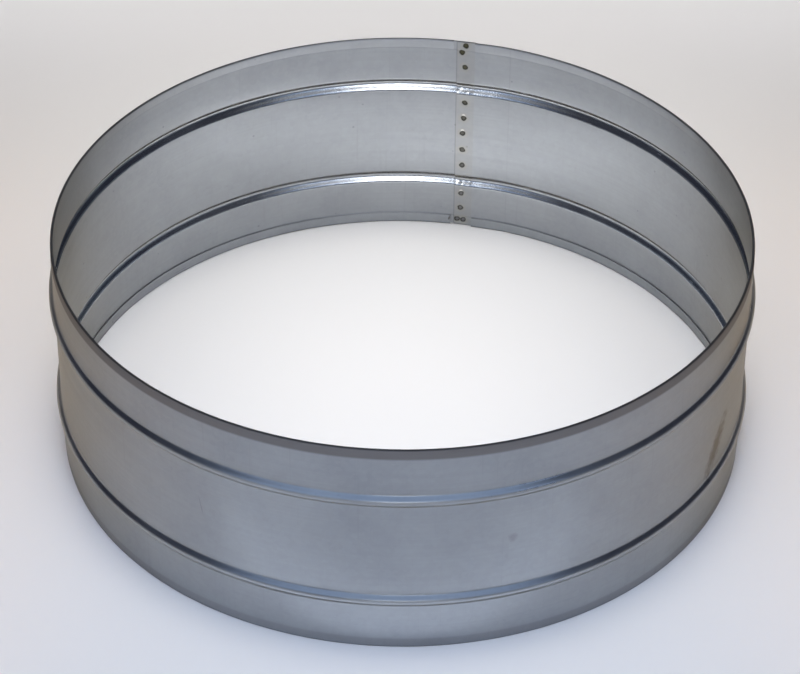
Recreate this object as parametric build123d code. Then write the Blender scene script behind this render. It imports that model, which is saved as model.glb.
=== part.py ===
from build123d import *
import math
import os

# A duct joiner ring: one strip of galvanised sheet rolled into a short drum, lapped and spot welded,
# with a stop bead rolled near each end and both rims hemmed to the inside. It stands on its lower rim.
# The axis is Z and the lower rim lies in the plane Z = 0. Millimetres and degrees throughout.

# Driving dimensions
wall_diameter = 450.0  # outside of the plain wall, which a duct or a sleeve slips over
ring_height = 157.0  # from rim to rim
sheet_thickness = 0.7

bead_spacing = 79.0  # between the middles of the two stop beads
bead_width = 11.0  # from root to root along the wall
bead_rise = 3.0  # how far a bead stands out of the wall
bead_root_radius = 1.2  # on the outside, where the bead leaves the wall
bead_crest_radius = 2.4  # on the outside, over the top of the bead

hem_height = 7.2  # from the rim down to the raw edge of the fold
hem_gap = 0.4  # left open inside the fold
hem_cutback = 2.5  # the fold stops this far short of the free edge of the lap

seam_azimuth = 80.4  # of the free edge that shows inside, from +X towards +Y
lap_width = 13.0  # where the two ends of the strip lie on each other
joggle_length = 30.0  # over which the inner end steps back out to the plain wall

weld_diameter = 4.0  # of the dimple that a welding electrode leaves
weld_depth = 0.25

# Welds, each by its distance from the free edge and a height. The upper row is measured down from
# the upper rim, the middle row up from mid height, and the lower row up from the lower rim.
upper_welds = [(6.2, 3.4), (3.6, 9.1), (5.8, 21.2)]
middle_welds = [(6.2, 27.6), (5.6, 14.6), (5.0, 1.6), (5.1, -12.6), (5.1, -26.0)]
lower_welds = [(4.9, 27.8), (4.6, 15.2), (2.4, 5.0), (6.8, 5.0)]

# Bends and weld dimples are drawn as flats that touch the true arc, so many corners to each.
root_corners = 1
crest_corners = 4
fold_corners = 4
slit_corners = 2
weld_corners = 12

# Sizes that follow
wall_radius = wall_diameter / 2
half_sheet = sheet_thickness / 2
mid_radius = wall_radius - half_sheet
mid_height = ring_height / 2

# A bead is two straight flanks, with a crest arc between them and a root arc beside each, all tangent.
# The radii are of the sheet's middle, and the flanks' slope follows from the bead's width and rise.
root_radius = bead_root_radius + half_sheet
crest_radius = bead_crest_radius - half_sheet
both_radii = root_radius + crest_radius
flank_reach = math.sqrt(bead_width**2 - 4 * bead_rise * (2 * both_radii - bead_rise))
bead_turn = 2 * math.degrees(math.atan(2 * bead_rise / (bead_width + flank_reach)))
arcs_rise = both_radii * (1 - math.cos(math.radians(bead_turn)))
flank_length = (bead_rise - arcs_rise) / math.sin(math.radians(bead_turn))

# The hem turns the sheet back on itself round the gap.
fold_radius = (hem_gap + sheet_thickness) / 2
fold_start = ring_height - fold_radius - half_sheet
fold_leg = fold_start - (ring_height - hem_height)

# The lap and its joggle, as angles about the axis
lap_angle = math.degrees(lap_width / wall_radius)
cutback_angle = math.degrees(hem_cutback / wall_radius)
joggle_angle = math.degrees(joggle_length / wall_radius)
lap_azimuth = seam_azimuth - lap_angle
joggle_azimuth = lap_azimuth - joggle_angle

# The joggle is a flat that leaves the lap along its tangent, then one tighter bend that runs into the
# plain wall. The bend's centre lies off the axis by just enough to take up one thickness of sheet.
joggle_offset = sheet_thickness / (1 - math.cos(math.radians(joggle_angle)))
joggle_flat = joggle_offset * math.sin(math.radians(joggle_angle))

# The inner face of the lap, which the electrodes press on, and how far they stand out of it
lap_inside = wall_radius - 2 * sheet_thickness
electrode_reach = weld_diameter


def bent_line(inset, bends, last_run):
    """Corners of a line that follows the sheet, this far inside its middle, from mid height upwards.

    Each bend is the straight run that leads to it, its turn inwards, its radius at the middle of the
    sheet, and its corners. A bend of some corners has a flat between each two, tangent to its arc.
    """
    here = Vector(mid_radius - inset, mid_height)
    heading = Vector(0, 1)
    corners = []
    for run, turn, radius, count in bends:
        here += heading * run
        turn_each = turn / count
        radius_here = radius - inset * math.copysign(1, turn)
        half_flat = radius_here * math.tan(math.radians(abs(turn_each) / 2))
        for _ in range(count):
            here += heading * half_flat
            corners.append(here)
            heading = heading.rotate(Axis.Z, turn_each)
            here += heading * half_flat
    corners.append(here + heading * last_run)
    return corners


def bead_bends():
    return [
        ((bead_spacing - bead_width) / 2, -bead_turn, root_radius, root_corners),
        (flank_length, 2 * bead_turn, crest_radius, crest_corners),
        (flank_length, -bead_turn, root_radius, root_corners),
    ]


bead_top = mid_height + (bead_spacing + bead_width) / 2


def plain_line(inset):
    return bent_line(inset, bead_bends(), ring_height - bead_top)


def hemmed_line(inset, corners):
    fold = (fold_start - bead_top, 180, fold_radius, corners)
    return bent_line(inset, bead_bends() + [fold], fold_leg)


def section(outside, inside):
    """The section between two lines of the sheet, with its lower half as the mirror of its upper."""
    upper = outside + inside[::-1]
    lower = [Vector(corner.X, ring_height - corner.Y) for corner in reversed(upper)]
    return Plane.XZ * make_face(Polyline(*upper, *lower, close=True))


def around(profile, start, sweep):
    return revolve(Rot(Z=start) * profile, Axis.Z, sweep)


hemmed_section = section(hemmed_line(-half_sheet, fold_corners), hemmed_line(half_sheet, slit_corners))
plain_section = section(plain_line(-half_sheet), plain_line(half_sheet))

# Where the strip's ends lie on each other the section is two sheets thick.
inner_face = [corner - Vector(sheet_thickness, 0) for corner in plain_line(half_sheet)]
lap_section = section(plain_line(-half_sheet), inner_face)

# The hemmed wall runs round from the cut-back end of its fold to the end of the joggle.
wall_sweep = 360 - cutback_angle - lap_angle - joggle_angle
hemmed_wall = around(hemmed_section, seam_azimuth + cutback_angle, wall_sweep)
unfolded_end = around(plain_section, seam_azimuth, cutback_angle)
lap = around(lap_section, lap_azimuth, lap_angle)

# The inner end of the strip lies one sheet inside the wall where it leaves the lap.
inner_end = Rot(Z=lap_azimuth) * (Pos(X=-sheet_thickness) * hemmed_section)
leaving = Vector(0, -1).rotate(Axis.Z, lap_azimuth)
flat = extrude(inner_end, joggle_flat, dir=leaving)
bend_centre = Vector(joggle_offset, 0).rotate(Axis.Z, joggle_azimuth)
bend = revolve(Rot(Z=joggle_azimuth) * hemmed_section, Axis(bend_centre, (0, 0, 1)), joggle_angle)


def weld_dimple(across, height):
    """The electrode's tip, sunk by the depth of the dimple into the inner face of the lap."""
    azimuth = seam_azimuth - math.degrees(across / wall_radius)
    tip = RegularPolygon(weld_diameter / 2, weld_corners, major_radius=False)
    electrode = extrude(Plane.YZ * tip, electrode_reach + weld_depth)
    return Rot(Z=azimuth) * (Pos(lap_inside - electrode_reach, 0, height) * electrode)


dimples = [weld_dimple(across, ring_height - drop) for across, drop in upper_welds]
dimples += [weld_dimple(across, mid_height + rise) for across, rise in middle_welds]
dimples += [weld_dimple(across, rise) for across, rise in lower_welds]

joiner_ring = hemmed_wall + unfolded_end + lap + flat + bend
joiner_ring -= dimples

os.makedirs("parts", exist_ok=True)
export_step(joiner_ring, "parts/joiner_ring.step")
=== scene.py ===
import math

import bmesh
import bpy
from mathutils import Matrix, Vector, noise


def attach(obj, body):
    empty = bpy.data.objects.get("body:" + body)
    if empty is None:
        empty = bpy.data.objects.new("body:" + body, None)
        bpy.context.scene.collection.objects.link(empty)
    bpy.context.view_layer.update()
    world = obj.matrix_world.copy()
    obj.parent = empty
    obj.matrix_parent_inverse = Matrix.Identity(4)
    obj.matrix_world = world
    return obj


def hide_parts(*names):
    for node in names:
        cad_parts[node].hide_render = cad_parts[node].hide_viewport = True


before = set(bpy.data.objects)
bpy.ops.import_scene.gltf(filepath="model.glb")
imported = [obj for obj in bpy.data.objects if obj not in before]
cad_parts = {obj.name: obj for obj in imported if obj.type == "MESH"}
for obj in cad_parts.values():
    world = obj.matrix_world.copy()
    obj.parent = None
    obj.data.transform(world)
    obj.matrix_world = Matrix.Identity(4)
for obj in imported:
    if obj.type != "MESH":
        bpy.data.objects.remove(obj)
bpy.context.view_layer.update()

MM = 0.001
Z = Vector((0, 0, 1))

# The strip, as the part's source has it, in metres and radians
WALL_RADIUS = 225 * MM
RING_HEIGHT = 157 * MM
SHEET = 0.7 * MM
BEAD_SPACING = 79 * MM
BEAD_WIDTH = 11 * MM
BEAD_RISE = 3 * MM
HEM_HEIGHT = 7.2 * MM
HEM_GAP = 0.4 * MM
HEM_CUTBACK = 2.5 * MM
SEAM_AZIMUTH = math.radians(80.4)
LAP_WIDTH = 13 * MM
JOGGLE_LENGTH = 30 * MM
WELD_RADIUS = 2 * MM
WELD_DEPTH = 0.25 * MM

# Its beads are rounder here than the source's, which are drawn with few flats.
BEAD_ROOT_RADIUS = 2.4 * MM
BEAD_CREST_RADIUS = 3.8 * MM

# Welds by their distance from the free edge and their height above the lower rim, in millimetres
WELDS = [
    (6.2, 153.6), (3.6, 147.9), (5.8, 135.8),
    (6.2, 106.1), (5.6, 93.1), (5.0, 80.1), (5.1, 65.9), (5.1, 52.5),
    (4.9, 27.8), (4.6, 15.2), (2.4, 5.0), (6.8, 5.0),
]
# The heat of a weld reaches this far from its middle.
WELD_HALO = 6 * MM
# A dimple's side starts and ends this far from its middle, in weld radii.
DIMPLE_RIM = 1.25
DIMPLE_FLOOR = 0.65
# The electrodes wore unevenly, so that no mark is quite round.
WELD_UNEVEN = 0.5 * MM
# Painted highlight: above some welds a bright crescent on the dimple's upper edge, this far from the
# middle and this wide.
GLINTING_WELDS = [WELDS[4], WELDS[5], WELDS[8]]
GLINT_RISE = 2.2 * MM
GLINT_REACH = 1.7 * MM

# The rolls that fold the hem leave it leaning in a little.
RIM_LEAN = math.radians(1.5)
RIM_LEAN_RADIUS = 25 * MM

# From the free edge to the crease where the joggle starts
CREASE = 38 * MM

# The beads were rolled after welding, through two sheets at once, which crumpled the lapped one.
CRUMPLE = 0.35 * MM
CRUMPLE_PITCH = 2.6 * MM

# Sizes that follow
MID_HEIGHT = RING_HEIGHT / 2
MID_RADIUS = WALL_RADIUS - SHEET / 2
FOLD_RADIUS = (HEM_GAP + SHEET) / 2
FOLD_START = RING_HEIGHT - FOLD_RADIUS - SHEET / 2
HEM_EDGE = RING_HEIGHT - HEM_HEIGHT
LAP_ANGLE = LAP_WIDTH / WALL_RADIUS
CUTBACK_ANGLE = HEM_CUTBACK / WALL_RADIUS
JOGGLE_ANGLE = JOGGLE_LENGTH / WALL_RADIUS
LAP_AZIMUTH = SEAM_AZIMUTH - LAP_ANGLE
JOGGLE_AZIMUTH = LAP_AZIMUTH - JOGGLE_ANGLE
# The lapped end clears the wall behind it by a hair.
LAP_STEP = SHEET + 0.03 * MM
# The unfolded corners of the lap reach almost to the rim.
CORNER_STANDS = 0.3 * MM
JOGGLE_OFFSET = LAP_STEP / (1 - math.cos(JOGGLE_ANGLE))
JOGGLE_FLAT = JOGGLE_OFFSET * math.sin(JOGGLE_ANGLE)

# How finely each form is cut: steps up the section, then steps round the ring
WALL_STEPS = 5
END_STEPS = 4
ROOT_STEPS = 6
FLANK_STEPS = 6
CREST_STEPS = 10
LEAN_STEPS = 3
FOLD_STEPS = 12
LEG_STEPS = 2
RING_STEPS = 280
JOGGLE_STEPS = 8
FLAT_STEPS = 3
OUTER_END_STEPS = 4
LAP_STEPS = 26
LAP_GRID = 0.5 * MM
MERGED = 0.01 * MM
ANGLE_SLACK = 1e-4


def linear(hex_colour):
    """An sRGB hex colour as linear RGBA."""
    parts = [int(hex_colour[i : i + 2], 16) / 255 for i in (1, 3, 5)]
    return [p / 12.92 if p <= 0.04045 else ((p + 0.055) / 1.055) ** 2.4 for p in parts] + [1]


def node(tree, kind, sockets=(), **settings):
    """Adds a node with its settings; each socket gets a value, or a link if it is given an output."""
    made = tree.nodes.new(kind)
    for name, value in settings.items():
        setattr(made, name, value)
    for name, value in dict(sockets).items():
        if isinstance(value, bpy.types.NodeSocket):
            tree.links.new(value, made.inputs[name])
        else:
            made.inputs[name].default_value = value
    return made


def towards(azimuth):
    """The direction from the axis towards an azimuth."""
    return Vector((math.cos(azimuth), math.sin(azimuth), 0))


def azimuth_of(vert):
    return math.atan2(vert.co.y, vert.co.x)


def only(kind, geometry):
    return [g for g in geometry if isinstance(g, kind)]


def between(low, value, high):
    return min(high, max(low, value))


# The sheet: its middle is drawn as a line, rolled round the axis and then given its thickness.
def straight(bm, tip, heading, length, steps):
    """Takes the line on, straight, and returns its new tip."""
    for _ in range(steps):
        tip = bmesh.ops.extrude_vert_indiv(bm, verts=[tip])["verts"][0]
        bmesh.ops.translate(bm, verts=[tip], vec=heading * (length / steps))
    return tip


def bend(bm, tip, heading, radius, turn, steps):
    """Takes the line on round a bend, inwards if the turn is positive; returns its tip and heading."""
    inwards = Vector((-heading.z, 0, heading.x))
    centre = tip.co + inwards * math.copysign(radius, turn)
    made = bmesh.ops.spin(bm, geom=[tip], cent=centre, axis=(0, -1, 0), angle=turn, steps=steps)
    heading = Matrix.Rotation(turn, 3, (0, -1, 0)) @ heading
    return only(bmesh.types.BMVert, made["geom_last"])[0], heading


def draw_section(bm):
    """The strip's middle line, from mid height up to the raw edge of the hem, and its mirror below."""
    root = BEAD_ROOT_RADIUS + SHEET / 2
    crest = BEAD_CREST_RADIUS - SHEET / 2
    # The flanks' slope and length follow from the bead's width and rise.
    spare = BEAD_WIDTH**2 - 4 * BEAD_RISE * (2 * (root + crest) - BEAD_RISE)
    bead_turn = 2 * math.atan(2 * BEAD_RISE / (BEAD_WIDTH + math.sqrt(spare)))
    flank = (BEAD_RISE - (root + crest) * (1 - math.cos(bead_turn))) / math.sin(bead_turn)
    bead_top = MID_HEIGHT + (BEAD_SPACING + BEAD_WIDTH) / 2
    tip = bmesh.ops.create_vert(bm, co=(MID_RADIUS, 0, MID_HEIGHT))["vert"][0]
    heading = Z.copy()
    tip = straight(bm, tip, heading, (BEAD_SPACING - BEAD_WIDTH) / 2, WALL_STEPS)
    tip, heading = bend(bm, tip, heading, root, -bead_turn, ROOT_STEPS)
    tip = straight(bm, tip, heading, flank, FLANK_STEPS)
    tip, heading = bend(bm, tip, heading, crest, 2 * bead_turn, CREST_STEPS)
    tip = straight(bm, tip, heading, flank, FLANK_STEPS)
    tip, heading = bend(bm, tip, heading, root, -bead_turn, ROOT_STEPS)
    tip = straight(bm, tip, heading, HEM_EDGE - bead_top - RIM_LEAN_RADIUS * RIM_LEAN, END_STEPS)
    tip, heading = bend(bm, tip, heading, RIM_LEAN_RADIUS, RIM_LEAN, LEAN_STEPS)
    tip = straight(bm, tip, heading, FOLD_START - tip.co.z, LEG_STEPS)
    # The fold turns on until its raw edge lies against the wall.
    leg = FOLD_START - HEM_EDGE
    tip, heading = bend(bm, tip, heading, FOLD_RADIUS, math.pi + HEM_GAP / leg, FOLD_STEPS)
    straight(bm, tip, heading, leg, LEG_STEPS)
    bmesh.ops.mirror(
        bm, geom=bm.verts[:] + bm.edges[:], matrix=Matrix.Translation((0, 0, -MID_HEIGHT)),
        merge_dist=MERGED, axis="Z",
    )
    bmesh.ops.remove_doubles(bm, verts=bm.verts, dist=MERGED)


def unfolded(bm, edges, wall_radius):
    """A section's edges without its hems, taken on by as much as the fold beside them stands."""
    plain = []
    for edge in edges:
        middle = (edge.verts[0].co + edge.verts[1].co) / 2
        above = abs(middle.z - MID_HEIGHT) + MID_HEIGHT
        leaning_in = max(0, above - HEM_EDGE) * math.tan(RIM_LEAN)
        if above < FOLD_START and middle.xy.length > wall_radius - leaning_in - FOLD_RADIUS:
            plain.append(edge)
    for edge in plain[:]:
        for tip in edge.verts:
            if not any(other in plain for other in tip.link_edges if other is not edge):
                heading = (tip.co - edge.other_vert(tip).co).normalized()
                end = straight(bm, tip, heading, CORNER_STANDS, 1)
                plain.append(end.link_edges[0])
    return plain


def roll(bm, edges, centre, angle, steps):
    """Rolls edges round an upright axis; returns the edges that lead on."""
    geometry = list({v for e in edges for v in e.verts}) + list(edges)
    made = bmesh.ops.spin(bm, geom=geometry, cent=centre, axis=Z, angle=angle, steps=steps)
    return only(bmesh.types.BMEdge, made["geom_last"])


def press_welds(bm, verts):
    """Sinks the electrodes' dimples into the lapped end, and notes how near each point is to a weld."""
    heat = bm.verts.layers.float["weld_heat"]
    lapped = bm.verts.layers.float["lapped_end"]
    glint = bm.verts.layers.float["painted_glint"]
    for vert in verts:
        azimuth = azimuth_of(vert)
        here = Vector(((SEAM_AZIMUTH - azimuth) * WALL_RADIUS, vert.co.z))
        near = min((here - Vector(weld) * MM).length for weld in WELDS)
        near += WELD_UNEVEN * noise.noise(vert.co / WELD_RADIUS)
        share = between(0, (DIMPLE_RIM - near / WELD_RADIUS) / (DIMPLE_RIM - DIMPLE_FLOOR), 1)
        sink = WELD_DEPTH * share * share * (3 - 2 * share)
        from_bead = abs(abs(vert.co.z - MID_HEIGHT) - BEAD_SPACING / 2)
        in_bead = between(0, 2 - 2 * from_bead / BEAD_WIDTH, 1)
        sink -= CRUMPLE * in_bead * (1 + noise.noise(vert.co / CRUMPLE_PITCH)) / 2
        vert.co += towards(azimuth) * sink
        vert[heat] = max(0, 1 - near / WELD_HALO)
        # Where a highlight is painted above some welds
        under = here - Vector((0, GLINT_RISE))
        beside = min((under - Vector(weld) * MM).length for weld in GLINTING_WELDS)
        vert[glint] = max(0, 1 - beside / GLINT_REACH)
        vert[lapped] = 1 if azimuth > LAP_AZIMUTH + ANGLE_SLACK else 0


def make_ring():
    bm = bmesh.new()
    for layer in ("weld_heat", "lapped_end", "painted_glint"):
        bm.verts.layers.float.new(layer)
    draw_section(bm)
    # It starts where the hem is cut back beside the seam.
    hem_azimuth = SEAM_AZIMUTH + CUTBACK_ANGLE
    bmesh.ops.rotate(bm, verts=bm.verts, matrix=Matrix.Rotation(hem_azimuth, 3, "Z"))
    section = bm.edges[:]
    turn = 2 * math.pi - CUTBACK_ANGLE - LAP_ANGLE - JOGGLE_ANGLE
    edges = roll(bm, section, (0, 0, 0), turn, RING_STEPS)
    # The joggle: a tighter bend, then a flat that runs into the lap.
    bend_centre = towards(JOGGLE_AZIMUTH) * JOGGLE_OFFSET
    edges = roll(bm, edges, bend_centre, JOGGLE_ANGLE, JOGGLE_STEPS)
    along = towards(LAP_AZIMUTH + math.pi / 2) * (JOGGLE_FLAT / FLAT_STEPS)
    for _ in range(FLAT_STEPS):
        made = bmesh.ops.extrude_edge_only(bm, edges=edges)["geom"]
        moved = only(bmesh.types.BMVert, made)
        bmesh.ops.translate(bm, verts=moved, vec=along)
        edges = [e for e in only(bmesh.types.BMEdge, made) if all(v in moved for v in e.verts)]
    # The outer end, behind the lap, and the lapped end
    outer_end = unfolded(bm, section, MID_RADIUS)
    roll(bm, outer_end, (0, 0, 0), -CUTBACK_ANGLE - LAP_ANGLE, OUTER_END_STEPS)
    before = set(bm.faces)
    roll(bm, unfolded(bm, edges, MID_RADIUS - LAP_STEP), (0, 0, 0), LAP_ANGLE, LAP_STEPS)
    # The lapped end is cut into a fine grid for the welds' dimples.
    lap = [f for f in bm.faces if f not in before]
    upright = {
        e for f in lap for e in f.edges if abs(e.verts[0].co.z - e.verts[1].co.z) > 2 * LAP_GRID
    }
    for cuts in sorted({int(e.calc_length() / LAP_GRID) for e in upright}):
        these = [e for e in upright if e.is_valid and int(e.calc_length() / LAP_GRID) == cuts]
        bmesh.ops.subdivide_edges(bm, edges=these, cuts=cuts, use_grid_fill=True)
    lap = [f for f in bm.faces if f not in before]
    lap_verts = {v for f in lap for v in f.verts}
    press_welds(bm, [v for v in lap_verts if azimuth_of(v) > LAP_AZIMUTH - ANGLE_SLACK])
    bmesh.ops.recalc_face_normals(bm, faces=bm.faces)
    for face in bm.faces:
        face.smooth = True
    for edge in bm.edges:
        edge.smooth = not edge.is_boundary
    mesh = bpy.data.meshes.new("joiner_ring_sheet")
    bm.to_mesh(mesh)
    bm.free()
    ring = bpy.data.objects.new("joiner_ring_sheet", mesh)
    bpy.context.scene.collection.objects.link(ring)
    thickness = ring.modifiers.new("sheet thickness", "SOLIDIFY")
    thickness.thickness = SHEET
    thickness.offset = 0
    thickness.use_even_offset = True
    thickness.use_quality_normals = True
    thickness.material_offset_rim = 1
    return ring


def galvanised_sheet():
    """Zinc-coated cold-rolled steel: a satin grey metal, cool from the front and warmer at a slant,
    with rolling lines along the strip, cloudy patches, handling marks, and burnt welds on the lap."""
    material = bpy.data.materials.new("galvanised_sheet")
    material.use_nodes = True
    tree = material.node_tree
    shader = tree.nodes["Principled BSDF"]
    coordinates = node(tree, "ShaderNodeTexCoord")
    place = coordinates.outputs["Object"]
    # What lies over the bare zinc, from the bottom up: where it is and its colour
    layers = []

    # Which side of the sheet this is
    sideways = node(
        tree, "ShaderNodeVectorMath", {0: place, 1: (1, 1, 0)}, operation="MULTIPLY"
    ).outputs[0]
    facing = node(
        tree, "ShaderNodeVectorMath", {0: sideways, 1: coordinates.outputs["Normal"]},
        operation="DOT_PRODUCT",
    ).outputs["Value"]
    outside = node(
        tree, "ShaderNodeMapRange", {"Value": facing, "From Min": -0.02, "From Max": 0.02}
    ).outputs["Result"]
    inside = node(tree, "ShaderNodeMath", {0: 1, 1: outside}, operation="SUBTRACT").outputs[0]
    # How far it is from the nearer rim, and whether it is in a bead
    height = node(tree, "ShaderNodeSeparateXYZ", {0: place}).outputs["Z"]
    off_middle = node(
        tree, "ShaderNodeMath", {0: height, 1: MID_HEIGHT}, operation="SUBTRACT"
    ).outputs[0]
    off_middle = node(tree, "ShaderNodeMath", {0: off_middle}, operation="ABSOLUTE").outputs[0]
    from_rim = node(
        tree, "ShaderNodeMath", {0: MID_HEIGHT, 1: off_middle}, operation="SUBTRACT"
    ).outputs[0]
    off_bead = node(
        tree, "ShaderNodeMath", {0: off_middle, 1: BEAD_SPACING / 2}, operation="SUBTRACT"
    ).outputs[0]
    off_bead = node(tree, "ShaderNodeMath", {0: off_bead}, operation="ABSOLUTE").outputs[0]
    in_bead = node(
        tree, "ShaderNodeMapRange", {"Value": off_bead, "From Min": 6 * MM, "From Max": 4.5 * MM}
    ).outputs["Result"]
    # The seam turned to the X axis: Y is the distance from the free edge, and the lap is below zero.
    turned = node(
        tree, "ShaderNodeMapping", {"Vector": place, "Rotation": (0, 0, -SEAM_AZIMUTH)}
    ).outputs[0]
    by_seam = node(tree, "ShaderNodeSeparateXYZ", {0: turned})
    from_edge = by_seam.outputs["Y"]
    seam_side = node(
        tree, "ShaderNodeMath", {0: by_seam.outputs["X"], 1: 0}, operation="GREATER_THAN"
    ).outputs[0]
    seam_side = node(
        tree, "ShaderNodeMath", {0: seam_side, 1: inside}, operation="MULTIPLY"
    ).outputs[0]

    # Cloudy patches of the zinc, 45 mm across
    patches = node(
        tree, "ShaderNodeTexNoise", {"Vector": place, "Scale": 22, "Detail": 4, "Roughness": 0.6}
    ).outputs["Fac"]
    patches = node(
        tree, "ShaderNodeMapRange", {"Value": patches, "From Min": 0.3, "From Max": 0.7}
    ).outputs["Result"]
    colour = node(
        tree, "ShaderNodeMix", {"Factor": patches, "A": linear("#979ba0"), "B": linear("#a6aaae")},
        data_type="RGBA",
    ).outputs["Result"]
    # Rolling lines, 1.4 mm apart and half a metre long. They are coarser than the real ones, which
    # are too fine to show.
    along = node(tree, "ShaderNodeMapping", {"Vector": place, "Scale": (2, 2, 700)}).outputs[0]
    rolling = node(
        tree, "ShaderNodeTexNoise", {"Vector": along, "Scale": 1, "Detail": 3}
    ).outputs["Fac"]
    rolled = node(
        tree, "ShaderNodeMapRange",
        {"Value": rolling, "From Min": 0.35, "From Max": 0.65, "To Max": 0.25},
    ).outputs["Result"]
    layers.append((rolled, linear("#9a9da3")))
    # Spangle, crystals 3 mm across
    crystals = node(tree, "ShaderNodeTexVoronoi", {"Vector": place, "Scale": 330}).outputs["Color"]
    crystal = node(tree, "ShaderNodeSeparateColor", {0: crystals}).outputs["Red"]
    spangle = node(tree, "ShaderNodeMapRange", {"Value": crystal, "To Max": 0.12}).outputs["Result"]
    layers.append((spangle, linear("#b4b8be")))
    # Handling marks up and down the strip, 2 mm wide and 80 mm long
    upright = node(tree, "ShaderNodeMapping", {"Vector": place, "Scale": (480, 480, 12)}).outputs[0]
    handling = node(
        tree, "ShaderNodeTexNoise", {"Vector": upright, "Scale": 1, "Detail": 2}
    ).outputs["Fac"]
    handled = node(
        tree, "ShaderNodeMapRange",
        {"Value": handling, "From Min": 0.62, "From Max": 0.85, "To Max": 0.3},
    ).outputs["Result"]
    layers.append((handled, linear("#8d8f92")))

    # Pits and specks of flux inside, 1 mm across and some 20 mm apart
    cells = node(tree, "ShaderNodeTexVoronoi", {"Vector": place, "Scale": 90})
    speck = node(
        tree, "ShaderNodeMapRange",
        {"Value": cells.outputs["Distance"], "From Min": 0.09, "From Max": 0.05, "To Max": 0.4},
    ).outputs["Result"]
    chance = node(tree, "ShaderNodeSeparateColor", {0: cells.outputs["Color"]}).outputs["Green"]
    chance = node(
        tree, "ShaderNodeMath", {0: chance, 1: 0.6}, operation="GREATER_THAN"
    ).outputs[0]
    for where in (chance, inside):
        speck = node(tree, "ShaderNodeMath", {0: speck, 1: where}, operation="MULTIPLY").outputs[0]
    layers.append((speck, linear("#6a6a6c")))

    # Painted shade on the outside of a hem, which the folding rolls dull: it is darkened for the dark
    # reflection of its band, much less on the lower hem than on the upper.
    hem_shade_and_dulling = node(
        tree, "ShaderNodeMapRange",
        {"Value": from_rim, "From Min": HEM_HEIGHT + 0.6 * MM, "From Max": HEM_HEIGHT - 0.8 * MM},
    ).outputs["Result"]
    hem_shade_by_height = node(
        tree, "ShaderNodeMapRange",
        {"Value": height, "From Max": RING_HEIGHT, "To Min": 0.3, "To Max": 0.9},
    ).outputs["Result"]
    for where in (outside, hem_shade_by_height):
        hem_shade_and_dulling = node(tree, "ShaderNodeMath", {0: hem_shade_and_dulling, 1: where}, operation="MULTIPLY").outputs[0]
    layers.append((hem_shade_and_dulling, linear("#7d7b7c")))
    # Painted shade on the crown of the fold: darkened for the dark reflection along its rounded top
    crown_shade_and_dulling = node(
        tree, "ShaderNodeMapRange",
        {"Value": from_rim, "From Min": 1.0 * MM, "From Max": 0.3 * MM, "To Max": 0.75},
    ).outputs["Result"]
    layers.append((crown_shade_and_dulling, linear("#545252")))
    # Painted shade along the raw edge of the fold, about a millimetre wide, where the edge's shadow
    # line falls
    off_raw_edge = node(
        tree, "ShaderNodeMath", {0: from_rim, 1: HEM_HEIGHT + 0.45 * MM}, operation="SUBTRACT"
    ).outputs[0]
    off_raw_edge = node(tree, "ShaderNodeMath", {0: off_raw_edge}, operation="ABSOLUTE").outputs[0]
    raw_edge_shade = node(
        tree, "ShaderNodeMapRange",
        {"Value": off_raw_edge, "From Min": 0.7 * MM, "From Max": 0.3 * MM, "To Max": 0.15},
    ).outputs["Result"]
    raw_edge_shade = node(tree, "ShaderNodeMath", {0: raw_edge_shade, 1: inside}, operation="MULTIPLY").outputs[0]
    layers.append((raw_edge_shade, linear("#4c4a4a")))

    # The lapped end: straw-tinted by the heat of the welds, with painted shade in the step at its
    # free edge, where the gap's shadow falls on the wall
    lapped = node(tree, "ShaderNodeAttribute", attribute_name="lapped_end").outputs["Fac"]
    tint = node(tree, "ShaderNodeMath", {0: lapped, 1: 0.2}, operation="MULTIPLY").outputs[0]
    layers.append((tint, linear("#989488")))
    step_shade = node(
        tree, "ShaderNodeMapRange",
        {"Value": from_edge, "From Min": 0.9 * MM, "From Max": 0.3 * MM, "To Max": 0.3},
    ).outputs["Result"]
    step_end = node(
        tree, "ShaderNodeMapRange",
        {"Value": from_edge, "From Min": -0.3 * MM, "From Max": -0.1 * MM},
    ).outputs["Result"]
    for where in (step_end, seam_side):
        step_shade = node(tree, "ShaderNodeMath", {0: step_shade, 1: where}, operation="MULTIPLY").outputs[0]
    layers.append((step_shade, linear("#4a4846")))

    # Welds: a pale halo where the zinc boiled off, a painted highlight above some, a dark ring and a
    # core
    heat = node(tree, "ShaderNodeAttribute", attribute_name="weld_heat").outputs["Fac"]
    halo = node(
        tree, "ShaderNodeMapRange",
        {"Value": heat, "From Min": 0.2, "From Max": 0.5, "To Max": 0.25},
    ).outputs["Result"]
    layers.append((halo, linear("#a9a492")))
    glint = node(tree, "ShaderNodeAttribute", attribute_name="painted_glint").outputs["Fac"]
    bright = node(
        tree, "ShaderNodeMapRange",
        {"Value": glint, "From Min": 0.1, "From Max": 0.6, "To Max": 0.9},
    ).outputs["Result"]
    layers.append((bright, linear("#e2e0dc")))
    burnt = node(
        tree, "ShaderNodeMapRange", {"Value": heat, "From Min": 0.6, "From Max": 0.7}
    ).outputs["Result"]
    layers.append((burnt, linear("#33312b")))
    # The core is burnt olive at the upper rim, and is paler and greyer the lower the weld.
    hue = node(
        tree, "ShaderNodeMapRange", {"Value": height, "From Max": RING_HEIGHT}
    ).outputs["Result"]
    core_colour = node(
        tree, "ShaderNodeMix", {"Factor": hue, "A": linear("#838385"), "B": linear("#56543f")},
        data_type="RGBA",
    ).outputs["Result"]
    core = node(
        tree, "ShaderNodeMapRange",
        {"Value": heat, "From Min": 0.7, "From Max": 0.84, "To Max": 0.85},
    ).outputs["Result"]
    layers.append((core, core_colour))
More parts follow.
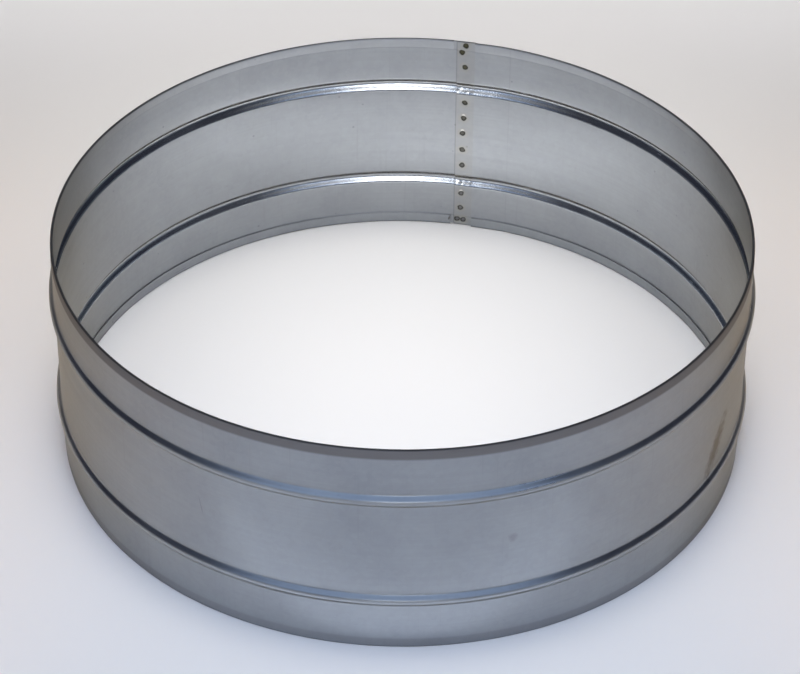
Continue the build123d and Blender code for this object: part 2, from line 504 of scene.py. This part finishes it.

    # Painted shade along a broken crease beside the lap, where the joggle starts
    off_crease = node(tree, "ShaderNodeMath", {0: from_edge, 1: CREASE}, operation="ADD").outputs[0]
    off_crease = node(tree, "ShaderNodeMath", {0: off_crease}, operation="ABSOLUTE").outputs[0]
    crease_shade = node(
        tree, "ShaderNodeMapRange",
        {"Value": off_crease, "From Min": 0.7 * MM, "From Max": 0.2 * MM, "To Max": 0.1},
    ).outputs["Result"]
    broken = node(
        tree, "ShaderNodeMapRange", {"Value": patches, "From Min": 0.2, "From Max": 0.8}
    ).outputs["Result"]
    for where in (seam_side, broken):
        crease_shade = node(tree, "ShaderNodeMath", {0: crease_shade, 1: where}, operation="MULTIPLY").outputs[0]
    layers.append((crease_shade, linear("#5c5a58")))

    # Marks of use, and painted shade at a crease and a hem's cut end: side, azimuth and height,
    # slant, half width and half length, and strength
    marks = [
        (outside, 332.2, 63.6, -36.0, 8.5, 27.0, 0.7),  # a smear of dirt
        (outside, 287.5, 81.7, 0.0, 3.4, 4.4, 0.25),  # a spot
        (outside, 237.5, 83.5, 12.0, 0.5, 8.0, 0.3),  # a scratch
        (inside, 134.6, 2.6, 90.0, 0.35, 9.5, 0.5),  # painted shade along a crease in the lower hem
        (inside, 81.3, 5.0, 15.0, 0.9, 2.0, 0.9),  # painted shadow at the cut end of the lower hem, beside the lowest welds
    ]
    # Their edges are ragged, by blotches 4 mm across.
    blotches = node(
        tree, "ShaderNodeTexNoise", {"Vector": place, "Scale": 250, "Detail": 2}
    ).outputs["Fac"]
    for side, azimuth, rise, slant, half_width, half_length, strength in marks:
        turn = math.radians(azimuth)
        here = node(
            tree, "ShaderNodeMapping",
            {
                "Vector": place,
                "Location": towards(turn) * WALL_RADIUS + Z * (rise * MM),
                "Rotation": (math.radians(slant), 0, turn),
                "Scale": (10 * MM, half_width * MM, half_length * MM),
            },
            vector_type="TEXTURE",
        ).outputs[0]
        away = node(tree, "ShaderNodeVectorMath", {0: here}, operation="LENGTH").outputs["Value"]
        away = node(tree, "ShaderNodeMath", {0: away, 1: blotches}, operation="ADD").outputs[0]
        mark_and_shade = node(
            tree, "ShaderNodeMapRange",
            {"Value": away, "From Min": 1.5, "From Max": 0.9, "To Max": strength},
        ).outputs["Result"]
        mark_and_shade = node(tree, "ShaderNodeMath", {0: mark_and_shade, 1: side}, operation="MULTIPLY").outputs[0]
        layers.append((mark_and_shade, linear("#5c5650")))

    for amount, tone in layers:
        colour = node(
            tree, "ShaderNodeMix", {"Factor": amount, "A": colour, "B": tone}, data_type="RGBA"
        ).outputs["Result"]
    tree.links.new(colour, shader.inputs["Base Color"])

    # Roughness: uneven with the patches and the rolling lines, duller on the hems and the welds, and
    # burnished by the rolls in the beads, most of all inside
    roughness = node(
        tree, "ShaderNodeMapRange", {"Value": patches, "To Min": 0.33, "To Max": 0.42}
    ).outputs["Result"]
    lines = node(
        tree, "ShaderNodeMapRange", {"Value": rolling, "To Min": -0.05, "To Max": 0.05}
    ).outputs["Result"]
    burnish = node(
        tree, "ShaderNodeMapRange", {"Value": inside, "To Min": -0.05, "To Max": -0.14}
    ).outputs["Result"]
    for where, change in [(lines, 1), (hem_shade_and_dulling, 0.18), (crown_shade_and_dulling, 0.25), (in_bead, burnish), (burnt, 0.15)]:
        roughness = node(
            tree, "ShaderNodeMath", {0: where, 1: change, 2: roughness}, operation="MULTIPLY_ADD"
        ).outputs[0]
    tree.links.new(roughness, shader.inputs["Roughness"])

    # A fine relief: the rolling lines, and the sheet's slight unevenness 6 mm across
    uneven = node(
        tree, "ShaderNodeTexNoise", {"Vector": place, "Scale": 160, "Detail": 2}
    ).outputs["Fac"]
    relief = node(tree, "ShaderNodeMath", {0: uneven, 1: rolling}, operation="ADD").outputs[0]
    # In the beads' grooves the zinc's crystals stand up where the rolls stretched them, 0.7 mm across.
    grains = node(
        tree, "ShaderNodeTexNoise", {"Vector": place, "Scale": 1400, "Detail": 1}
    ).outputs["Fac"]
    for where in (in_bead, inside):
        grains = node(tree, "ShaderNodeMath", {0: grains, 1: where}, operation="MULTIPLY").outputs[0]
    relief = node(
        tree, "ShaderNodeMath", {0: grains, 1: 5, 2: relief}, operation="MULTIPLY_ADD"
    ).outputs[0]
    bump = node(
        tree, "ShaderNodeBump", {"Strength": 0.5, "Distance": 0.02 * MM, "Height": relief}
    ).outputs["Normal"]
    tree.links.new(bump, shader.inputs["Normal"])

    shader.inputs["Metallic"].default_value = 1
    shader.inputs["Specular Tint"].default_value = linear("#ddd0b8")
    return material


def sheared_edge():
    """The steel that the shears laid bare: rougher than the zinc, and streaked by the blade."""
    material = bpy.data.materials.new("sheared_edge")
    material.use_nodes = True
    tree = material.node_tree
    shader = tree.nodes["Principled BSDF"]
    place = node(tree, "ShaderNodeTexCoord").outputs["Object"]
    # Streaks of the blade, 0.8 mm apart
    streaks = node(
        tree, "ShaderNodeTexNoise", {"Vector": place, "Scale": 1200, "Detail": 1}
    ).outputs["Fac"]
    colour = node(
        tree, "ShaderNodeMix", {"Factor": streaks, "A": linear("#97979a"), "B": linear("#b4b4b6")},
        data_type="RGBA",
    ).outputs["Result"]
    tree.links.new(colour, shader.inputs["Base Color"])
    shader.inputs["Metallic"].default_value = 1
    shader.inputs["Roughness"].default_value = 0.5
    return material


def white_paper():
    """Matt white backdrop paper: pale and even, with no gloss."""
    material = bpy.data.materials.new("white_paper")
    material.use_nodes = True
    shader = material.node_tree.nodes["Principled BSDF"]
    shader.inputs["Base Color"].default_value = linear("#e8e8e8")
    shader.inputs["Roughness"].default_value = 0.9
    shader.inputs["Specular IOR Level"].default_value = 0.0
    return material


ring = make_ring()
ring.data.materials.append(galvanised_sheet())
ring.data.materials.append(sheared_edge())
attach(ring, "root")
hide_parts("joiner_ring")

# Floor
FLOOR_REACH = 30
floor_mesh = bpy.data.meshes.new("floor")
bm = bmesh.new()
bmesh.ops.create_grid(bm, x_segments=1, y_segments=1, size=FLOOR_REACH)
bm.to_mesh(floor_mesh)
bm.free()
floor = bpy.data.objects.new("floor", floor_mesh)
bpy.context.scene.collection.objects.link(floor)
floor_mesh.materials.append(white_paper())

# Light
world = bpy.data.worlds.new("studio")
bpy.context.scene.world = world
world.use_nodes = True
world.node_tree.nodes["Background"].inputs["Color"].default_value = linear("#3c3e4a")
world.node_tree.nodes["Background"].inputs["Strength"].default_value = 1.0


def softbox(name, place, aim, width, depth, power, colour, lights_floor, spread=180):
    """A softbox that lights the floor, or else a panel that only shows in the metal."""
    lamp = bpy.data.lights.new(name, "AREA")
    lamp.shape = "RECTANGLE"
    lamp.size, lamp.size_y = width, depth
    lamp.energy = power
    lamp.color = linear(colour)[:3]
    lamp.spread = math.radians(spread)
    box = bpy.data.objects.new(name, lamp)
    box.location = place
    box.rotation_euler = (Vector(aim) - Vector(place)).to_track_quat("-Z", "Y").to_euler()
    box.visible_camera = False
    box.visible_diffuse = lights_floor
    box.visible_glossy = not lights_floor
    bpy.context.scene.collection.objects.link(box)


# Softboxes over the floor. The walls mirror it, so it is brightest inside the ring, cool in front of
# it and warm beside it.
softbox("pool", (0, 0.09, 1.0), (0, 0.09, 0), 0.52, 0.6, 0.5, "#fffaf2", True, spread=32)
softbox("front", (0, -0.9, 1.4), (0, -0.3, 0), 0.8, 0.4, 0.75, "#b4d2ff", True, spread=40)
softbox("behind", (0, 0.75, 1.6), (0, 0.75, 0), 1.2, 0.3, 1.0, "#f8faff", True, spread=30)
for x in (-0.34, 0.34):
    softbox("side", (x, 0, 1.0), (x, 0, 0), 0.1, 0.6, 0.045, "#ffc890", True, spread=20)
for x, y in [(1.9, 0), (-1.9, 0), (0, 1.9), (0, -1.9)]:
    softbox("far floor", (x, y, 1.6), (x, y, 0), 2.4, 2.4, 6, "#fbfcff", True, spread=60)

# Panels that show in the beads, the hems and the lower walls
softbox("key", (0.01, -0.2, 0.54), (0.01, 0, 0.54), 0.14, 0.64, 2.2, "#ffffff", False)
softbox("sky", (-0.05, -0.9, 0.9), (-0.05, 0, 0.9), 1.8, 1.4, 7.4, "#bcd4f8", False)
softbox("low", (0, -1.4, 0.3), (0, 0, 0.3), 0.3, 0.12, 0.6, "#ffffff", False)
softbox("ceiling", (0, 0, 1.9), (0, 0, 0), 2.0, 2.0, 7.0, "#ffffff", False)
softbox("back", (0, 1.6, 1.3), (0, 0, 0.1), 2.0, 1.0, 0.3, "#dfe3ea", False)
softbox("inside card", (0.015, 0.12, 0.001), (0.015, 0.12, 1), 0.06, 0.06, 0.014, "#ffffff", False)
softbox("front card", (0, -0.255, 0.001), (0, -0.255, 1), 0.4, 0.04, 0.02, "#e4eeff", False)

# An even light from above, over all of the floor
above = bpy.data.lights.new("above", "SUN")
above.energy = 1.45
above.angle = math.radians(100)
above.color = linear("#fff8f0")[:3]
above_light = bpy.data.objects.new("above", above)
above_light.visible_glossy = False
bpy.context.scene.collection.objects.link(above_light)

# Camera, fitted to the rims and the beads: its place, and its angles in degrees
CAMERA_PLACE = (0, -1.5622, 1.2788)
CAMERA_PAN = 0.043
CAMERA_DOWN = 37.822
CAMERA_ROLL = 0.401
lens = bpy.data.cameras.new("camera")
lens.lens = 135.13
lens.sensor_width = 36
camera = bpy.data.objects.new("camera", lens)
camera.matrix_world = (
    Matrix.Translation(CAMERA_PLACE)
    @ Matrix.Rotation(math.radians(CAMERA_PAN), 4, "Z")
    @ Matrix.Rotation(math.radians(90 - CAMERA_DOWN), 4, "X")
    @ Matrix.Rotation(math.radians(CAMERA_ROLL), 4, "Z")
)
bpy.context.scene.collection.objects.link(camera)
bpy.context.scene.camera = camera
bpy.context.scene.view_settings.view_transform = "Standard"
